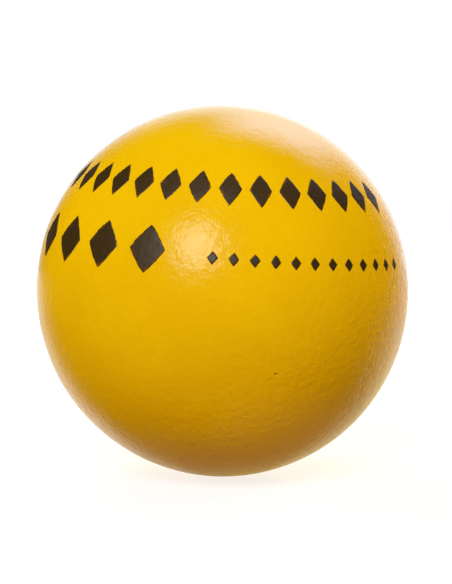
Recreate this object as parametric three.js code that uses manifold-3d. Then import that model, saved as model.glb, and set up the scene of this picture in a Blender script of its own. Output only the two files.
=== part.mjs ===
// Coated foam ball: a soft foam core inside a sprayed elastic skin. A needle-sized breather hole goes
// through the skin, and three rows of stencilled ink lozenges lie on one side of it.
// Millimetres, +Z up, origin at the centre of the ball. The printed side faces -Y and +X is its right.
// Latitudes are degrees above the equator, longitudes are degrees to the right of the front.

import * as THREE from "three";
import { mergeVertices } from "three/addons/utils/BufferGeometryUtils.js";
import Module from "manifold-3d";

// Ball: the outside of the skin, its wall, and the line between skin and foam that stays clear
const ballDiameter = 210;
const skinThickness = 0.8;
const bondGap = 0.3;

// Breather hole through the skin
const breatherDiameter = 1.6;
const breatherLatitudeDegrees = -19.4;
const breatherLongitudeDegrees = 16.1;

// Ink film: its thickness, its clearance from the skin, and how far the rows drop to the right
const inkThickness = 0.1;
const inkClearance = 0.1;
const printLeanDegrees = 4.25;

// Upper row of marks
const upperRowLatitudeDegrees = 35.5;
const upperRowStartDegrees = -107.5;
const upperMarkCount = 17;
const upperMarkHeight = 20.5;
const upperMarkWidth = 12;
const upperMarkGap = 4;

// Lower row of large marks, on the left
const lowerRowLatitudeDegrees = 15;
const lowerRowStartDegrees = -103;
const lowerMarkCount = 6;
const lowerMarkHeight = 26;
const lowerMarkWidth = 20;
const lowerMarkGap = 8;

// Row of small marks that carries on to the right of the large ones
const smallRowLatitudeDegrees = 14;
const smallRowStartDegrees = -4;
const smallMarkCount = 12;
const smallMarkHeight = 7.2;
const smallMarkWidth = 5.6;
const smallMarkGap = 5.4;

// Fineness of the round surfaces: steps along each edge of the icosahedron that a ball is divided from
// (an even number puts a corner on every axis), sides of the hole, and the longest step across a mark
const ballSteps = 10;
const holeSides = 12;
const inkStep = 4;

const ballRadius = ballDiameter / 2;
const skinInnerRadius = ballRadius - skinThickness;
const coreRadius = skinInnerRadius - bondGap;

const foamMaterial = { color: 0xe9dfc4, roughness: 0.95, metalness: 0 };
const skinMaterial = { color: 0xe9b202, roughness: 0.4, metalness: 0 };
const inkMaterial = { color: 0x2a2320, roughness: 0.55, metalness: 0 };

const wasm = await Module();
wasm.setup();

function toSolid(geometry) {
  geometry.deleteAttribute("normal");
  geometry.deleteAttribute("uv");
  const merged = mergeVertices(geometry);
  const vertProperties = merged.getAttribute("position").array;
  const triVerts = new Uint32Array(merged.getIndex().array);
  return new wasm.Manifold(new wasm.Mesh({ numProp: 3, vertProperties, triVerts }));
}

function toGeometry(solid) {
  const { vertProperties, triVerts } = solid.getMesh();
  const geometry = new THREE.BufferGeometry();
  geometry.setAttribute("position", new THREE.BufferAttribute(vertProperties, 3));
  geometry.setIndex(new THREE.BufferAttribute(triVerts, 1));
  geometry.computeVertexNormals();
  return geometry;
}

function namedMesh(name, geometry, look) {
  const mesh = new THREE.Mesh(geometry, new THREE.MeshStandardMaterial(look));
  mesh.name = name;
  return mesh;
}

// Every ball surface has the same facets, so two of them run parallel at an even distance.
function ballGeometry(radius) {
  return new THREE.IcosahedronGeometry(radius, ballSteps - 1);
}

// The turn that takes +Z to a place on the ball, with +X to its right and +Y up the ball.
function facing(latitude, longitude) {
  const tilt = THREE.MathUtils.degToRad(90 - latitude);
  return new THREE.Euler(tilt, 0, THREE.MathUtils.degToRad(longitude), "ZXY");
}

function foamCore() {
  return namedMesh("foam_core", ballGeometry(coreRadius), foamMaterial);
}

// The drill for the breather hole, which reaches one wall thickness past each face of the skin.
function breatherDrill() {
  const radius = breatherDiameter / 2;
  const drill = new THREE.CylinderGeometry(radius, radius, 3 * skinThickness, holeSides);
  drill.rotateX(Math.PI / 2);
  drill.translate(0, 0, ballRadius - skinThickness / 2);
  const place = facing(breatherLatitudeDegrees, breatherLongitudeDegrees);
  drill.applyMatrix4(new THREE.Matrix4().makeRotationFromEuler(place));
  return toSolid(drill);
}

function skin() {
  const shell = toSolid(ballGeometry(ballRadius)).subtract(toSolid(ballGeometry(skinInnerRadius)));
  return namedMesh("skin", toGeometry(shell.subtract(breatherDrill())), skinMaterial);
}

// A lozenge of ink bent onto the ball around +Z: a square slab with its corners up, down, left and right.
function lozengeGeometry(width, height) {
  const steps = Math.ceil(Math.hypot(width, height) / 2 / inkStep);
  const geometry = new THREE.BoxGeometry(1, 1, inkThickness, steps, steps, 1);
  const position = geometry.getAttribute("position");
  const middleRadius = ballRadius + inkClearance + inkThickness / 2;
  const point = new THREE.Vector3();
  for (let i = 0; i < position.count; i += 1) {
    const across = ((position.getX(i) - position.getY(i)) * width) / 2;
    const up = ((position.getX(i) + position.getY(i)) * height) / 2;
    point.set(across, up, ballRadius).setLength(middleRadius + position.getZ(i));
    position.setXYZ(i, point.x, point.y, point.z);
  }
  geometry.computeVertexNormals();
  return geometry;
}

function markRow(row) {
  const rowRadius = ballRadius * Math.cos(THREE.MathUtils.degToRad(row.latitude));
  const step = THREE.MathUtils.radToDeg((row.width + row.gap) / rowRadius);
  const marks = new THREE.Group();
  for (let i = 0; i < row.count; i += 1) {
    const name = `${row.name}_${String(i + 1).padStart(2, "0")}`;
    const mark = namedMesh(name, lozengeGeometry(row.width, row.height), inkMaterial);
    mark.rotation.copy(facing(row.latitude, row.start + i * step));
    marks.add(mark);
  }
  return marks;
}

function inkPrint() {
  const print = new THREE.Group();
  print.rotation.y = THREE.MathUtils.degToRad(printLeanDegrees);
  print.add(
    markRow({
      name: "upper_mark",
      latitude: upperRowLatitudeDegrees,
      start: upperRowStartDegrees,
      count: upperMarkCount,
      height: upperMarkHeight,
      width: upperMarkWidth,
      gap: upperMarkGap,
    }),
    markRow({
      name: "lower_mark",
      latitude: lowerRowLatitudeDegrees,
      start: lowerRowStartDegrees,
      count: lowerMarkCount,
      height: lowerMarkHeight,
      width: lowerMarkWidth,
      gap: lowerMarkGap,
    }),
    markRow({
      name: "small_mark",
      latitude: smallRowLatitudeDegrees,
      start: smallRowStartDegrees,
      count: smallMarkCount,
      height: smallMarkHeight,
      width: smallMarkWidth,
      gap: smallMarkGap,
    }),
  );
  return print;
}

const ball = new THREE.Group();
ball.add(foamCore(), skin(), inkPrint());

export default ball;
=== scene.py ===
"""Coated foam ball: a wrinkled elastic skin over a foam core, with stencilled ink marks on one side.

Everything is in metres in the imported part's frame: origin at the ball's centre, +Z up, the print on -Y.
A place on the ball is a pair of degrees: latitude above the equator, longitude to the right of the front.
A range is a pair of values between which something sets in or fades.
"""
import math

import bpy
import numpy as np
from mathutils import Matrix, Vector, noise


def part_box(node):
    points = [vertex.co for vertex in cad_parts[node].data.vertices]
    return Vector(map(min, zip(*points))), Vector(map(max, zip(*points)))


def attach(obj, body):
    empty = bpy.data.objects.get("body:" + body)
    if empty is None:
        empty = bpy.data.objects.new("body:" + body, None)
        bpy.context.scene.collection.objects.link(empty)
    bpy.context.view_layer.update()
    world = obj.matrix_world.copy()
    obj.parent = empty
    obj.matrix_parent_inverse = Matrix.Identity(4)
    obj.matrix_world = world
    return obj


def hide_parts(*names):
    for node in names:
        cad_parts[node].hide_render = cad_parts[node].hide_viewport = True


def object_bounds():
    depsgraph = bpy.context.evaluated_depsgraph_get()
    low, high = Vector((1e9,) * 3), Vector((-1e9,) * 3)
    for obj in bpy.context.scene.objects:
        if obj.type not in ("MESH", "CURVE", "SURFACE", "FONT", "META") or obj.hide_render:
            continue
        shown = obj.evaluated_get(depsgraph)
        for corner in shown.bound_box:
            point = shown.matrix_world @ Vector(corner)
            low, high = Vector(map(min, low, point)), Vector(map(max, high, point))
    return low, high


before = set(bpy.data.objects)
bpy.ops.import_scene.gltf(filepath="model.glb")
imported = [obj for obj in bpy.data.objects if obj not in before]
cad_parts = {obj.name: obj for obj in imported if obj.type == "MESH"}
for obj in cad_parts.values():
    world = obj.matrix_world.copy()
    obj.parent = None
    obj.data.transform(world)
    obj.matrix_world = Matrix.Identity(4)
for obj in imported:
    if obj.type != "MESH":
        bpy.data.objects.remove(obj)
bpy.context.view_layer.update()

MM = 0.001

# Sizes that the frame gives
BALL_RADIUS = (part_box("skin")[1].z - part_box("skin")[0].z) / 2
CORE_RADIUS = (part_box("foam_core")[1].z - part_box("foam_core")[0].z) / 2

# Skin wall and breather hole, as in the solids
SKIN_WALL = 0.8 * MM
BREATHER_RADIUS = 0.8 * MM
BREATHER_PLACE = (-19.4, 16.1)

# Form of the skin: out-of-round, broad lumps of the foam, shallow dimples, wrinkles, and the hole's lip
OVAL_AXIS = Vector((-0.866, 0.0, 0.5))
OVAL_RISE = 0.22 * MM
LUMP_WIDTH = 70 * MM
LUMP_HEIGHT = 0.22 * MM
DIMPLE_WIDTH = 13 * MM
DIMPLE_HEIGHT = 0.045 * MM
WRINKLE_WIDTH = 5.5 * MM
WRINKLE_HEIGHT = 0.055 * MM
LIP_HEIGHT = 0.06 * MM
LIP_PLACE = 1.35 * MM
LIP_WIDTH = 0.45 * MM

# Form of the foam core: open cells as pits, which reach a share of a cell's width from its middle
FOAM_PIT_WIDTH = 3.2 * MM
FOAM_PIT_DEPTH = 0.25 * MM
FOAM_PIT_REACH = 0.5

# Ink film: above and below the face of the skin, the waver of its edge, and the form of a lozenge
INK_RISE = 0.05 * MM
INK_ROOT = 0.03 * MM
INK_EDGE_WOBBLE = 0.3 * MM
INK_WOBBLE_WIDTH = 2.2 * MM
LOZENGE_SIDES = 4
LOZENGE_POWER = 1.12

# Mesh steps
SKIN_EDGE = 1.36 * MM
INNER_EDGE = 6 * MM
INNER_LEAST_SIDES = 8
HOLE_ZONE = 6 * MM
HOLE_RINGS = 9
HOLE_WALL_RINGS = 3
CORE_EDGE = 3 * MM
MARK_STEP = 1.3 * MM
MARK_LEAST_RINGS = 3
MARK_LEAST_STEPS = 6

# Range that holds most values of a noise
NOISE_RANGE = (0.3, 0.7)

# Fine wrinkles of the coat: folds, orange peel and the finest grain
FOLD_WIDTH = 3.6 * MM
FOLD_DETAIL = 3.0
FOLD_ROUGHNESS = 0.54
FOLD_TWIST = 0.4
PEEL_WIDTH = 1.4 * MM
PEEL_SHARE = 0.16
MICRO_WIDTH = 0.55 * MM
MICRO_SHARE = 0.04
WRINKLE_DEPTH = 0.66 * MM

# Two places where the coat lies smoother, the upper left of the print and the crown: ranges in ball radii
CALM_PLACE = (41, -37)
CALM_RANGE = (-0.15, 0.65)
CALM_SHARE = 0.42
CROWN_PLACE = (75, 100)
CROWN_RANGE = (0.6, 0.92)
CROWN_SHARE = 0.45

# Look of the skin: paler clouds, painted shade darkening the valleys between the wrinkles, and a mottled
# gloss
SKIN_YELLOW = (0.737, 0.432, 0.0008, 1)
SKIN_PALE = (0.77, 0.462, 0.0012, 1)
# painted shade: the colour of the valleys between the wrinkles
SKIN_VALLEY_SHADE = (0.665, 0.374, 0.0006, 1)
CLOUD_WIDTH = 48 * MM
VALLEY_SHADE_RANGE = (0.61, 0.45)
VALLEY_SHADE_SHARE = 0.15
MOTTLE_WIDTH = 6 * MM
SKIN_ROUGHNESS = (0.18, 0.23)
SKIN_SPECULAR = 0.2

# Dirt: specks in some areas of the skin, and spots at the left with their place, radius and strength
DIRT = (0.16, 0.085, 0.02, 1)
SPECK_SPACING = 11 * MM
SPECK_RANGE = (0.045, 0.028)
SPECK_SHARE = 0.3
DIRTY_AREA_WIDTH = 30 * MM
DIRTY_AREA_RANGE = (0.58, 0.64)
DIRT_SPOTS = (
    ((-14.9, -56.5), 0.5 * MM, 0.6),
    ((-16.7, -55.6), 0.5 * MM, 0.7),
    ((-6.0, -55.4), 1.4 * MM, 0.12),
    ((-8.5, -55.8), 1.4 * MM, 0.16),
    ((-10.8, -56.1), 1.2 * MM, 0.12),
)

# Look of the ink: thinner in patches and at the rim of a mark, with pinholes and with gaps down to the skin
INK_BLACK = (0.038, 0.021, 0.004, 1)
INK_THIN = (0.19, 0.066, 0.003, 1)
INK_RIM_POWER = 5.0
THINNING_WIDTH = 6 * MM
THINNING_AT_RIM = 0.35
THINNING_RANGE = (0.70, 0.98)
THINNING_SHARE = 0.9
PINHOLE_WIDTH = 0.8 * MM
PINHOLE_RANGE = (0.62, 0.76)
PINHOLE_SHARE = 0.5
GAP_WIDTH = 0.9 * MM
GAP_AT_RIM = 0.3
GAP_RANGE = (0.88, 0.98)
INK_GLOSS_WIDTH = 2.6 * MM
INK_ROUGHNESS = (0.42, 0.56)

# Look of the foam: shaded pores, and a place under the breather hole that the coat has soaked
FOAM_CREAM = (0.72, 0.60, 0.36, 1)
FOAM_SHADE = (0.48, 0.37, 0.17, 1)
FOAM_SOAKED = (0.76, 0.44, 0.003, 1)
SOAKED_RADIUS = 2.5 * MM
PORE_WIDTH = 1.1 * MM
PORE_RANGE = (0.25, 0.6)
PORE_DEPTH = 0.4 * MM
FOAM_ROUGHNESS = (0.88, 0.98)

# Photograph: its size in pixels, and the ball's centre and radius in it
FRAME_WIDTH = 452
FRAME_HEIGHT = 584
BALL_PIXEL_X = 222.6
BALL_PIXEL_Y = 291.0
BALL_PIXEL_RADIUS = 185.5

# Camera: the place on the ball that it looks down on, its distance, and its sensor in millimetres
CAMERA_PLACE = (5, 0)
CAMERA_DISTANCE = 1.0
SENSOR = 36.0

# Floor: the grey that is seen, the warmer colour that it bounces, and how its glow rises to white
WHITE = (1, 1, 1, 1)
DISC_SIDES = 96
FLOOR_RADIUS = 4.0
FLOOR_GREY = (0.30, 0.30, 0.30, 1)
FLOOR_WARM = (0.22, 0.17, 0.03, 1)
FLOOR_GLOW = 0.76
FLOOR_RANGE = (0.2, 0.75)

# Light that the floor sends up to the ball, in an oval patch around a point behind the ball's foot
BOUNCE_NEAR = (0.8, 0.78, 0.03, 1)
BOUNCE_FAR = (0.2, 0.085, 0.01, 1)
BOUNCE_RANGE = (20 * MM, 107 * MM)
BOUNCE_CENTRE = (0, 30 * MM, 0)
BOUNCE_SCALE = (0.4, 1, 0)

# Card under the ball, with a pair of values for its left and its right where they differ; near the ball it
# holds a painted shadow, a painted pale patch by the foot and a painted golden bounce
CARD_RADIUS = 3.5
CARD_LIFT = 1 * MM
CARD_UNSEEN_BY = ("camera", "diffuse", "shadow", "transmission")
CARD_MIDDLE_RANGE = (-20 * MM, 20 * MM)
CARD_DARK = 0.012
CARD_PALE = 1.02
CARD_EDGE_TURN = (math.radians(143.5), math.radians(138.5))
CARD_EDGE_BEND = (0.131, 0.264)
CARD_EDGE_START = (37 * MM, 160 * MM)
CARD_EDGE_SOFT = math.radians(15)
# painted shadow of the ball on the card, dimmest beside it
CARD_SHADE = (0.3, 0.5)
CARD_SHADE_TO = (0.11, 0.4)
# painted light: a pale patch on the card by the ball's foot
CARD_FOOT_LIGHT = (0.26, 0.25)
CARD_FOOT_LIGHT_FROM = (50 * MM, 90 * MM)
CARD_FOOT_LIGHT_TO = (100 * MM, 150 * MM)
# painted bounce light: the card turns golden near the ball, as if lit by the yellow ball
CARD_BOUNCE_GOLD = (1.55, 1.5, 1.0, 1)
CARD_BOUNCE_GOLD_SHARE = (0.2, 1.0)
CARD_BOUNCE_GOLD_RANGE = (0.15, 0.45)

# Card behind the ball, with the ranges of its soft left, right and upper edge
BACKDROP_PLACE = 2.5
BACKDROP_HALF = 4.6
BACKDROP_TOP = 7.4
BACKDROP_UNSEEN_BY = ("camera", "diffuse", "shadow")
BACKDROP_COOL = (0.72, 0.84, 1.0, 1)
BACKDROP_BRIGHT = 1.8
BACKDROP_LEFT = (-1.6, 0.1)
BACKDROP_RIGHT = (0.9, 2.75)
BACKDROP_FADE = (1.1, 3.2)

# Window in that card: its sides as ranges of slope, its near and far edge as ranges of distance
WINDOW_COOL = (0.42, 0.57, 1.0, 1)
WINDOW_BRIGHT = 6.6
WINDOW_LEFT = (-0.17, 0.23)
WINDOW_RIGHT = (0.45, 1.17)
WINDOW_NEAR = (1.05, 3.5)
WINDOW_FAR = (3.6, 7.3)

# Key lamp, which the ball mirrors: its place, distance, width and height, and watts
LAMP_WHITE = (1, 1, 1)
KEY_PLACE = (31, -16.1)
KEY_DISTANCE = 1.42
KEY_SIZE = (0.58, 0.64)
KEY_POWER = 12

# Fill lamps, which the ball doesn't mirror: place, watts and colour of each
FILL_DISTANCE = 1.5
FILL_SIZE = (0.9, 0.9)
FILL_LAMPS = {
    "front_fill": ((31, 5), 8.3, (1, 0.97, 0.92)),
    "left_fill": ((-2, -92), 6.3, LAMP_WHITE),
    "left_rear": ((0, -125), 18.6, (1, 0.93, 0.85)),
    "rear_top": ((45, -147), 10.5, LAMP_WHITE),
    "right_rear": ((10, 138), 26, (1, 0.9, 0.5)),
    "right_top": ((49, 97), 7.1, (1, 0.78, 0.4)),
}

# Faint even light from all round
AMBIENT = (0.02, 0.02, 0.02, 1)


def direction(place):
    """Unit vector from the ball's centre to a place on the ball."""
    latitude, longitude = (math.radians(degrees) for degrees in place)
    flat = math.cos(latitude)
    return Vector((flat * math.sin(longitude), -flat * math.cos(longitude), math.sin(latitude)))


BREATHER_WAY = direction(BREATHER_PLACE)


# Meshes made of rings round an axis

def ring(angle, count, turned):
    """Unit vectors of a ring at an angle from +Z, with every other ring turned by half a step."""
    steps = (np.arange(count) + 0.5 * turned) * (2 * math.pi / count)
    flat = math.sin(angle)
    return np.stack([flat * np.cos(steps), flat * np.sin(steps), np.full(count, math.cos(angle))], 1)


def ring_count(angle, edge, radius, least=3):
    """How many points a ring has when they lie about an edge apart."""
    return max(least, round(2 * math.pi * radius * math.sin(angle) / edge))


def ring_angles(start, end, edge, radius):
    """Angles of the rings between two angles, so that the triangles come out about equal-sided."""
    steps = max(1, round(abs(end - start) * radius / (edge * math.sqrt(3) / 2)))
    return [start + (end - start) * i / steps for i in range(steps + 1)]


def stitch(first, first_count, second, second_count, first_turned, second_turned):
    """Triangles between two closed rings of vertices that may have different counts."""
    triangles = []
    i = j = 0
    while i < first_count or j < second_count:
        first_next = (i + 1 + 0.5 * first_turned) / first_count
        second_next = (j + 1 + 0.5 * second_turned) / second_count
        a = first + i % first_count
        b = second + j % second_count
        if j >= second_count or (i < first_count and first_next <= second_next):
            triangles.append((a, b, first + (i + 1) % first_count))
            i += 1
        else:
            triangles.append((a, b, second + (j + 1) % second_count))
            j += 1
    return triangles


def turn_outward(mesh):
    """Turns the faces of a closed triangle mesh so that they point out."""
    corners = np.zeros(len(mesh.polygons) * 3, np.int32)
    mesh.polygons.foreach_get("vertices", corners)
    places = np.zeros(len(mesh.vertices) * 3)
    mesh.vertices.foreach_get("co", places)
    a, b, c = places.reshape(-1, 3)[corners.reshape(-1, 3)].transpose(1, 0, 2)
    if np.einsum("ij,ij->", a, np.cross(b, c)) < 0:
        mesh.flip_normals()


def closed_mesh(name, rings, first_tip, last_tip):
    """A closed mesh from a tip, through rings of points with their turned flags, to another tip."""
    points = [np.array([first_tip])]
    starts = []
    total = 1
    for ring_points, _ in rings:
        starts.append(total)
        points.append(np.asarray(ring_points))
        total += len(ring_points)
    points.append(np.array([last_tip]))
    first_count = len(rings[0][0])
    triangles = [(0, starts[0] + i, starts[0] + (i + 1) % first_count) for i in range(first_count)]
    for k in range(len(rings) - 1):
        near, near_turned = rings[k]
        far, far_turned = rings[k + 1]
        triangles += stitch(starts[k], len(near), starts[k + 1], len(far), near_turned, far_turned)
    last_count = len(rings[-1][0])
    last = starts[-1]
    triangles += [(total, last + (i + 1) % last_count, last + i) for i in range(last_count)]
    mesh = bpy.data.meshes.new(name)
    mesh.from_pydata(np.concatenate(points).tolist(), [], triangles)
    mesh.validate()
    turn_outward(mesh)
    return mesh


def add_piece(name, mesh, material, slot, *nodes):
    """A piece that rides on the ball and stands for CAD nodes."""
    piece = bpy.data.objects.new(name, mesh)
    bpy.context.scene.collection.objects.link(piece)
    mesh.materials.append(material)
    mesh.shade_smooth()
    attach(piece, "root")
    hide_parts(*nodes)
    return piece


# Skin

def skin_radius(way):
    """Distance from the ball's centre to the outside of the skin, along a unit vector."""
    place = way * BALL_RADIUS
    oval = OVAL_RISE * (2 * way.dot(OVAL_AXIS) ** 2 - 1)
    lump = LUMP_HEIGHT * noise.noise(place / LUMP_WIDTH)
    dimple = DIMPLE_HEIGHT * noise.noise(place / DIMPLE_WIDTH)
    crease = 1 - 2 * abs(noise.noise(place / WRINKLE_WIDTH))
    from_hole = (place - BREATHER_WAY * BALL_RADIUS).length
    lip = LIP_HEIGHT * math.exp(-(((from_hole - LIP_PLACE) / LIP_WIDTH) ** 2))
    return BALL_RADIUS + oval + lump + dimple + WRINKLE_HEIGHT * crease + lip


def turned_to(axis, ways, radius_of):
    """Points along unit vectors that are given round +Z, once +Z is turned to an axis."""
    turn = np.array(axis.to_track_quat("Z", "Y").to_matrix())
    return np.array([way * radius_of(Vector(way)) for way in ways @ turn.T])


def skin_mesh():
    """The skin as one closed shell: outside, wall of the breather hole, inside."""
    hole = BREATHER_RADIUS / BALL_RADIUS
    zone = HOLE_ZONE / BALL_RADIUS
    inner_radius = BALL_RADIUS - SKIN_WALL
    hole_count = ring_count(zone, SKIN_EDGE, BALL_RADIUS)
    rings = []

    def add_ring(angle, count, radius_of):
        turned = len(rings) % 2
        rings.append((turned_to(BREATHER_WAY, ring(angle, count, turned), radius_of), turned))

    for angle in ring_angles(math.pi, zone, SKIN_EDGE, BALL_RADIUS)[1:]:
        add_ring(angle, ring_count(angle, SKIN_EDGE, BALL_RADIUS), skin_radius)
    for i in range(1, HOLE_RINGS + 1):
        add_ring(zone * (hole / zone) ** (i / HOLE_RINGS), hole_count, skin_radius)
    for i in range(1, HOLE_WALL_RINGS + 1):
        depth = SKIN_WALL * i / HOLE_WALL_RINGS
        add_ring(hole, hole_count, lambda way, depth=depth: BALL_RADIUS - depth)
    for angle in ring_angles(hole, math.pi, INNER_EDGE, inner_radius)[1:-1]:
        count = ring_count(angle, INNER_EDGE, inner_radius, INNER_LEAST_SIDES)
        add_ring(angle, count, lambda way: inner_radius)
    back = -BREATHER_WAY
    return closed_mesh("skin_shell", rings, back * skin_radius(back), back * inner_radius)


# Foam core

def foam_radius(way):
    """Distance from the ball's centre to the cut foam under the skin, along a unit vector."""
    nearest = noise.voronoi(way * CORE_RADIUS / FOAM_PIT_WIDTH)[0][0]
    return CORE_RADIUS - FOAM_PIT_DEPTH * max(0.0, 1 - nearest / FOAM_PIT_REACH)


def foam_mesh():
    """The foam as one closed ball."""
    rings = []
    for i, angle in enumerate(ring_angles(0, math.pi, CORE_EDGE, CORE_RADIUS)[1:-1]):
        ways = ring(angle, ring_count(angle, CORE_EDGE, CORE_RADIUS), i % 2)
        rings.append((np.array([way * foam_radius(Vector(way)) for way in ways]), i % 2))
    pole = Vector((0, 0, 1))
    return closed_mesh("foam_ball", rings, pole * foam_radius(pole), -pole * foam_radius(-pole))


# Ink marks

def row_nodes(prefix):
    """Names of the CAD marks of a row."""
    return sorted(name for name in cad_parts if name.startswith(prefix))


def mark_frame(node):
    """Centre, right and up unit vectors and the half width and half height of a CAD mark."""
    ways = np.array([vertex.co.normalized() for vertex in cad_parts[node].data.vertices])
    centre = Vector(ways.mean(0)).normalized()
    tip = Vector(ways[np.argmin(ways @ np.array(centre))])
    up = (tip - centre * tip.dot(centre)).normalized()
    if up.z < 0:
        up = -up
    right = up.cross(centre)
    flat = BALL_RADIUS * ways / (ways @ np.array(centre))[:, None]
    return centre, right, up, (flat @ np.array(right)).max(), (flat @ np.array(up)).max()


def signed_power(value, power):
    """A power of a value's size, with the value's sign."""
    return math.copysign(abs(value) ** power, value)


def mark_rings(node):
    """Rings of points from the middle of a mark to its edge, and back underneath, on the wrinkled skin."""
    centre, right, up, half_width, half_height = mark_frame(node)
    ring_total = max(MARK_LEAST_RINGS, round(half_height / MARK_STEP))
    side_steps = max(MARK_LEAST_STEPS, round(math.hypot(half_width, half_height) / MARK_STEP))
    count = LOZENGE_SIDES * side_steps
    outline = []
    for j in range(count):
        angle = 2 * math.pi * j / count
        across = half_width * signed_power(math.cos(angle), 2 / LOZENGE_POWER)
        along = half_height * signed_power(math.sin(angle), 2 / LOZENGE_POWER)
        place = (centre * BALL_RADIUS + right * across + up * along) / INK_WOBBLE_WIDTH
        grow = 1 + INK_EDGE_WOBBLE * noise.noise(place) / math.hypot(across, along)
        outline.append((across * grow, along * grow))

    def point(across, along, rise):
        way = (centre * BALL_RADIUS + right * across + up * along).normalized()
        return way * (skin_radius(way) + rise)

    shares = [i / ring_total for i in range(1, ring_total + 1)]
    rings = [[point(x * s, y * s, INK_RISE) for x, y in outline] for s in shares]
    rings += [[point(x * s, y * s, -INK_ROOT) for x, y in outline] for s in reversed(shares)]
    edges = shares + shares[::-1]
    return rings, edges, point(0, 0, INK_RISE), point(0, 0, -INK_ROOT)


def marks_mesh(name, nodes):
    """One mesh with the ink films of a row of marks; the attribute edge runs from 0 inside to 1 outside."""
    points = []
    faces = []
    edge_values = []
    for node in nodes:
        rings, edges, top, under = mark_rings(node)
        first = len(points)
        count = len(rings[0])
        points.append(top)
        edge_values.append(0.0)
        for ring_points, edge in zip(rings, edges):
            points += ring_points
            edge_values += [edge] * count
        points.append(under)
        edge_values.append(0.0)
        last = len(points) - 1
        last_ring = last - count
        for j in range(count):
            k = (j + 1) % count
            faces.append((first, first + 1 + j, first + 1 + k))
            for i in range(len(rings) - 1):
                near = first + 1 + i * count
                far = near + count
                faces.append((near + j, far + j, far + k, near + k))
            faces.append((last, last_ring + k, last_ring + j))
    mesh = bpy.data.meshes.new(name)
    mesh.from_pydata([tuple(p) for p in points], [], faces)
    edge = mesh.attributes.new("edge", "FLOAT", "POINT")
    edge.data.foreach_set("value", edge_values)
    return mesh


# Materials

class Look:
    """The nodes of a material or a world, with short ways to add and join them."""

    def __init__(self, owner):
        owner.use_nodes = True
        self.owner = owner
        self.tree = owner.node_tree
        self.tree.nodes.clear()

    def feed(self, socket, value):
        """Sets an input to a value, or joins it to another node's output."""
        if isinstance(value, bpy.types.NodeSocket):
            self.tree.links.new(value, socket)
        else:
            socket.default_value = value

    def add(self, kind, inputs=(), **settings):
        """A node with its settings and inputs."""
        node = self.tree.nodes.new(kind)
        for key, value in settings.items():
            setattr(node, key, value)
        for key, value in dict(inputs).items():
            self.feed(node.inputs[key], value)
        return node

    def place(self):
        """A point's place in the shared frame."""
        return self.add("ShaderNodeTexCoord").outputs["Object"]

    def grain(self, width, detail=2.0, roughness=0.5, distortion=0.0):
        """Noise from 0 to 1 with features about as wide as given."""
        inputs = {
            "Vector": self.place(),
            "Scale": 1 / width,
            "Detail": detail,
            "Roughness": roughness,
            "Distortion": distortion,
        }
        return self.add("ShaderNodeTexNoise", inputs).outputs["Fac"]

    def cells(self, width, feature="F1"):
        """Distance to the middle of the nearest cell, as a share of the cells' width."""
        inputs = {"Vector": self.place(), "Scale": 1 / width}
        return self.add("ShaderNodeTexVoronoi", inputs, feature=feature).outputs["Distance"]

    def math(self, operation, first, second=0.0):
        """An operation on one or two values."""
        return self.add("ShaderNodeMath", {0: first, 1: second}, operation=operation).outputs[0]

    def vector(self, operation, first, second):
        """An operation on two vectors that gives a vector."""
        return self.add("ShaderNodeVectorMath", {0: first, 1: second}, operation=operation).outputs[0]

    def length(self, vector):
        """Length of a vector."""
        return self.add("ShaderNodeVectorMath", {0: vector}, operation="LENGTH").outputs["Value"]

    def spread(self, value, low, high, to_low=0.0, to_high=1.0):
        """Maps a range of values smoothly to another, and stays inside it."""
        inputs = {"Value": value, "From Min": low, "From Max": high, "To Min": to_low, "To Max": to_high}
        return self.add("ShaderNodeMapRange", inputs, interpolation_type="SMOOTHSTEP").outputs[0]

    def mix(self, share, first, second):
        """A colour between two colours."""
        node = self.add("ShaderNodeMix", data_type="RGBA")
        sockets = {socket.name: socket for socket in node.inputs if socket.enabled}
        self.feed(sockets["Factor"], share)
        self.feed(sockets["A"], first)
        self.feed(sockets["B"], second)
        return next(socket for socket in node.outputs if socket.enabled)

    def along(self, way):
        """How far a point lies along a unit vector from the ball's centre, in ball radii."""
        inputs = {0: self.place(), 1: way / BALL_RADIUS}
        return self.add("ShaderNodeVectorMath", inputs, operation="DOT_PRODUCT").outputs["Value"]

    def spot(self, way, radius):
        """A soft round spot on the ball around a unit vector: 1 inside, 0 from twice its radius out."""
        angle = radius / BALL_RADIUS
        return self.spread(self.along(way), math.cos(2 * angle), math.cos(angle))

    def bump(self, height, full_height):
        """Normal of an uneven surface, on which a height of 1 is as high as given."""
        return self.add("ShaderNodeBump", {"Height": height, "Distance": full_height}).outputs["Normal"]

    def seen_directly(self):
        """1 for rays that show a background: camera, glossy and transmission rays."""
        path = self.add("ShaderNodeLightPath").outputs
        shown = self.math("MAXIMUM", path["Is Camera Ray"], path["Is Glossy Ray"])
        return self.math("MAXIMUM", shown, path["Is Transmission Ray"])

    def glow(self, colour, strength=1.0):
        """A shader that gives light."""
        return self.add("ShaderNodeEmission", {"Color": colour, "Strength": strength})

    def blend(self, share, first, second):
        """A shader between two shaders."""
        return self.add("ShaderNodeMixShader", {0: share, 1: first.outputs[0], 2: second.outputs[0]})

    def both(self, first, second):
        """The sum of two shaders."""
        return self.add("ShaderNodeAddShader", {0: first.outputs[0], 1: second.outputs[0]})

    def show(self, shader, output="ShaderNodeOutputMaterial"):
        """Puts a shader on the surface, and gives back the material or world."""
        self.add(output, {"Surface": shader.outputs[0]})
        return self.owner

    def finish(self, **inputs):
        """Puts the Principled shader on the surface; an underscore stands for a space in an input's name."""
        named = {key.replace("_", " "): value for key, value in inputs.items()}
        return self.show(self.add("ShaderNodeBsdfPrincipled", named))


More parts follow.
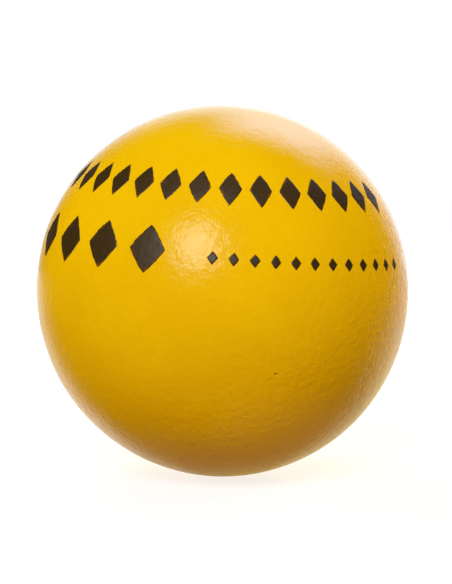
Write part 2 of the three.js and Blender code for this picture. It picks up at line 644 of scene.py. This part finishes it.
def wrinkles(look):
    """Height of the coat's fine wrinkles, from 0 to about 1."""
    folds = look.grain(FOLD_WIDTH, FOLD_DETAIL, FOLD_ROUGHNESS, FOLD_TWIST)
    peel = look.math("MULTIPLY", look.cells(PEEL_WIDTH, feature="SMOOTH_F1"), PEEL_SHARE)
    micro = look.math("MULTIPLY", look.grain(MICRO_WIDTH, detail=1.0), MICRO_SHARE)
    return look.math("ADD", folds, look.math("ADD", peel, micro))


def wrinkled(look, height):
    """Normal of the wrinkled coat, with the wrinkles lower where the coat lies smoother."""
    calm = look.spread(look.along(direction(CALM_PLACE)), *CALM_RANGE, 1.0, CALM_SHARE)
    crown = look.spread(look.along(direction(CROWN_PLACE)), *CROWN_RANGE, 1.0, CROWN_SHARE)
    return look.bump(look.math("MULTIPLY", height, look.math("MULTIPLY", calm, crown)), WRINKLE_DEPTH)


def skin_look():
    """Yellow elastic coat with fine wrinkles, painted shade in their valleys, and a little dirt."""
    look = Look(bpy.data.materials.new("coated_skin"))
    height = wrinkles(look)
    clouds = look.spread(look.grain(CLOUD_WIDTH), *NOISE_RANGE)
    colour = look.mix(clouds, SKIN_YELLOW, SKIN_PALE)
    # painted shade: the valleys between the wrinkles are darkened in colour
    valley_shade = look.spread(height, *VALLEY_SHADE_RANGE, 0.0, VALLEY_SHADE_SHARE)
    colour = look.mix(valley_shade, colour, SKIN_VALLEY_SHADE)
    specks = look.spread(look.cells(SPECK_SPACING), *SPECK_RANGE)
    dirty = look.spread(look.grain(DIRTY_AREA_WIDTH, detail=0.0), *DIRTY_AREA_RANGE, 0.0, SPECK_SHARE)
    colour = look.mix(look.math("MULTIPLY", specks, dirty), colour, DIRT)
    for place, radius, share in DIRT_SPOTS:
        spot = look.spot(direction(place), radius)
        colour = look.mix(look.math("MULTIPLY", spot, share), colour, DIRT)
    mottle = look.spread(look.grain(MOTTLE_WIDTH, detail=3.0), *NOISE_RANGE)
    return look.finish(
        Base_Color=colour,
        Roughness=look.spread(mottle, 0.0, 1.0, *SKIN_ROUGHNESS),
        Specular_IOR_Level=SKIN_SPECULAR,
        Normal=wrinkled(look, height),
    )


def ink_look():
    """Sprayed black ink with worn edges on the wrinkled coat."""
    look = Look(bpy.data.materials.new("stencil_ink"))
    edge = look.add("ShaderNodeAttribute", attribute_name="edge").outputs["Fac"]
    rim = look.math("POWER", edge, INK_RIM_POWER)
    thin = look.math("ADD", look.grain(THINNING_WIDTH), look.math("MULTIPLY", rim, THINNING_AT_RIM))
    colour = look.mix(look.spread(thin, *THINNING_RANGE, 0.0, THINNING_SHARE), INK_BLACK, INK_THIN)
    pinholes = look.spread(look.grain(PINHOLE_WIDTH, detail=1.0), *PINHOLE_RANGE, 0.0, PINHOLE_SHARE)
    colour = look.mix(pinholes, colour, INK_THIN)
    gaps = look.math("ADD", look.grain(GAP_WIDTH), look.math("MULTIPLY", rim, GAP_AT_RIM))
    colour = look.mix(look.spread(gaps, *GAP_RANGE), colour, SKIN_YELLOW)
    gloss = look.grain(INK_GLOSS_WIDTH, detail=3.0, roughness=0.6)
    return look.finish(
        Base_Color=colour,
        Roughness=look.spread(gloss, *NOISE_RANGE, *INK_ROUGHNESS),
        Normal=wrinkled(look, wrinkles(look)),
    )


def foam_look():
    """Cream open-cell foam."""
    look = Look(bpy.data.materials.new("open_cell_foam"))
    pores = look.cells(PORE_WIDTH)
    colour = look.mix(look.spread(pores, *PORE_RANGE), FOAM_SHADE, FOAM_CREAM)
    soaked = look.spot(BREATHER_WAY * (BALL_RADIUS / CORE_RADIUS), SOAKED_RADIUS)
    colour = look.mix(soaked, colour, FOAM_SOAKED)
    return look.finish(
        Base_Color=colour,
        Roughness=look.spread(pores, 0.0, 1.0, *FOAM_ROUGHNESS),
        Normal=look.bump(pores, PORE_DEPTH),
    )


# Camera

def add_camera():
    """A camera at the photograph's angle, with the ball where the photograph has it."""
    ball_tangent = math.tan(math.asin(BALL_RADIUS / CAMERA_DISTANCE))
    pixel_tangent = ball_tangent / BALL_PIXEL_RADIUS
    data = bpy.data.cameras.new("camera")
    data.sensor_width = SENSOR
    data.lens = SENSOR / 2 / (pixel_tangent * FRAME_HEIGHT / 2)
    data.shift_x = (FRAME_WIDTH / 2 - BALL_PIXEL_X) / FRAME_HEIGHT
    data.shift_y = (BALL_PIXEL_Y - FRAME_HEIGHT / 2) / FRAME_HEIGHT
    camera = bpy.data.objects.new("camera", data)
    bpy.context.scene.collection.objects.link(camera)
    way = direction(CAMERA_PLACE)
    camera.location = way * CAMERA_DISTANCE
    camera.rotation_euler = (-way).to_track_quat("-Z", "Y").to_euler()
    bpy.context.scene.camera = camera


# Stage and light

def add_sheet(name, corners, material, unseen_by=()):
    """A flat sheet of the stage, which some kinds of ray don't meet."""
    mesh = bpy.data.meshes.new(name)
    mesh.from_pydata(corners, [], [range(len(corners))])
    mesh.materials.append(material)
    sheet = bpy.data.objects.new(name, mesh)
    bpy.context.scene.collection.objects.link(sheet)
    for kind in unseen_by:
        setattr(sheet, f"visible_{kind}", False)


def disc(radius, height):
    """Corners of a level round sheet."""
    turns = [2 * math.pi * i / DISC_SIDES for i in range(DISC_SIDES)]
    return [(radius * math.cos(turn), radius * math.sin(turn), height) for turn in turns]


def upright(half_width, foot_light, top, place):
    """Corners of an upright sheet behind the ball."""
    corners = ((-half_width, foot_light), (half_width, foot_light), (half_width, top), (-half_width, top))
    return [(x, place, z) for x, z in corners]


def floor_look():
    """Pale floor that runs out into white, keeps the shadow near the ball and sends warm light up to it."""
    look = Look(bpy.data.materials.new("floor_white"))
    shown = look.seen_directly()
    matt = look.add("ShaderNodeBsdfDiffuse", {"Color": look.mix(shown, FLOOR_WARM, FLOOR_GREY)})
    white = look.glow(WHITE, look.spread(look.length(look.place()), *FLOOR_RANGE, FLOOR_GLOW, 1.0))
    from_centre = look.vector("SUBTRACT", look.place(), BOUNCE_CENTRE)
    beside = look.length(look.vector("MULTIPLY", from_centre, BOUNCE_SCALE))
    bounce = look.glow(look.mix(look.spread(beside, *BOUNCE_RANGE), BOUNCE_NEAR, BOUNCE_FAR))
    return look.show(look.both(matt, look.blend(shown, bounce, white)))


def card_look():
    """Card that the ball's lower half mirrors: dark in front, pale behind, with a painted shadow, a painted
    pale patch by the foot and a painted golden bounce near the ball.
    """
    look = Look(bpy.data.materials.new("dark_card"))
    split = look.add("ShaderNodeSeparateXYZ", {0: look.place()})
    across, back = split.outputs["X"], split.outputs["Y"]
    away = look.length(look.add("ShaderNodeCombineXYZ", {"X": across, "Y": back}).outputs[0])

    def sided(values):
        return look.spread(across, *CARD_MIDDLE_RANGE, *values)

    turn = look.math("ARCTAN2", look.math("ABSOLUTE", across), look.math("MULTIPLY", back, -1.0))
    bend = look.math("DIVIDE", sided(CARD_EDGE_BEND), look.math("ADD", away, sided(CARD_EDGE_START)))
    past_edge = look.math("ADD", look.math("SUBTRACT", turn, sided(CARD_EDGE_TURN)), bend)
    behind = look.spread(past_edge, -CARD_EDGE_SOFT, CARD_EDGE_SOFT, 0.0, CARD_PALE)
    # painted shadow of the ball, dimmer near it
    shade = look.spread(away, 0.0, sided(CARD_SHADE_TO), sided(CARD_SHADE), 1.0)
    # painted light: a pale patch by the ball's foot
    foot_light = look.spread(away, sided(CARD_FOOT_LIGHT_FROM), sided(CARD_FOOT_LIGHT_TO), sided(CARD_FOOT_LIGHT), 0.0)
    strength = look.math("MAXIMUM", look.math("MULTIPLY", behind, shade), foot_light)
    strength = look.math("MAXIMUM", strength, CARD_DARK)
    # painted bounce light: golden near the ball
    gold_bounce = look.spread(away, *CARD_BOUNCE_GOLD_RANGE, sided(CARD_BOUNCE_GOLD_SHARE), 0.0)
    return look.show(look.glow(look.mix(gold_bounce, WHITE, CARD_BOUNCE_GOLD), strength))


def backdrop_look():
    """Cool white card behind the ball with a brighter window high up in it, both with soft edges."""
    look = Look(bpy.data.materials.new("backdrop_white"))
    split = look.add("ShaderNodeSeparateXYZ", {0: look.place()})
    across, height = split.outputs["X"], split.outputs["Z"]
    slope = look.math("DIVIDE", across, look.math("MAXIMUM", height, MM))
    squares = look.math("ADD", look.math("MULTIPLY", across, across), look.math("MULTIPLY", height, height))
    away = look.math("SQRT", squares)

    def band(value, rise, fall, most=1.0):
        return look.math("MULTIPLY", look.spread(value, *rise), look.spread(value, *fall, most, 0.0))

    sides = band(across, BACKDROP_LEFT, BACKDROP_RIGHT, BACKDROP_BRIGHT)
    card = look.math("MULTIPLY", sides, look.spread(height, *BACKDROP_FADE, 1.0, 0.0))
    window_sides = band(slope, WINDOW_LEFT, WINDOW_RIGHT, WINDOW_BRIGHT)
    window = look.math("MULTIPLY", window_sides, band(away, WINDOW_NEAR, WINDOW_FAR))
    light = look.both(look.glow(BACKDROP_COOL, card), look.glow(WINDOW_COOL, window))
    clear = look.add("ShaderNodeBsdfTransparent")
    return look.show(look.blend(look.seen_directly(), clear, light))


def add_lamp(name, place, distance, size, power, colour, mirrored):
    """A soft lamp over a place on the ball, which faces the ball."""
    data = bpy.data.lights.new(name, "AREA")
    data.shape = "ELLIPSE"
    data.size, data.size_y = size
    data.energy = power
    data.color = colour
    data.cycles.use_multiple_importance_sampling = mirrored
    lamp = bpy.data.objects.new(name, data)
    bpy.context.scene.collection.objects.link(lamp)
    way = direction(place)
    lamp.location = way * distance
    lamp.rotation_euler = (-way).to_track_quat("-Z", "Y").to_euler()
    lamp.visible_camera = False
    lamp.visible_glossy = mirrored


def add_world():
    """White for the camera, and faint even light for the ball."""
    world = bpy.data.worlds.new("studio")
    bpy.context.scene.world = world
    world.cycles_visibility.glossy = False
    look = Look(world)
    dim = look.add("ShaderNodeBackground", {"Color": AMBIENT, "Strength": 1.0})
    white = look.add("ShaderNodeBackground", {"Color": WHITE, "Strength": 1.0})
    look.show(look.blend(look.seen_directly(), dim, white), "ShaderNodeOutputWorld")


add_camera()
add_piece("skin_coat", skin_mesh(), skin_look(), "skin", "skin")
core = add_piece("foam_ball", foam_mesh(), foam_look(), "foam", "foam_core")
ink = ink_look()
for row in ("upper", "lower", "small"):
    nodes = row_nodes(f"{row}_mark")
    add_piece(f"{row}_marks", marks_mesh(f"{row}_marks", nodes), ink, "ink", *nodes)

floor_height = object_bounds()[0].z
add_sheet("floor", disc(FLOOR_RADIUS, floor_height), floor_look())
card_corners = disc(CARD_RADIUS, floor_height + CARD_LIFT)
add_sheet("dark_card", card_corners, card_look(), CARD_UNSEEN_BY)
backdrop_corners = upright(BACKDROP_HALF, floor_height, BACKDROP_TOP, BACKDROP_PLACE)
add_sheet("backdrop", backdrop_corners, backdrop_look(), BACKDROP_UNSEEN_BY)

add_lamp("key", KEY_PLACE, KEY_DISTANCE, KEY_SIZE, KEY_POWER, LAMP_WHITE, mirrored=True)
for name, (place, power, colour) in FILL_LAMPS.items():
    add_lamp(name, place, FILL_DISTANCE, FILL_SIZE, power, colour, mirrored=False)
add_world()
bpy.context.scene.view_settings.view_transform = "Standard"
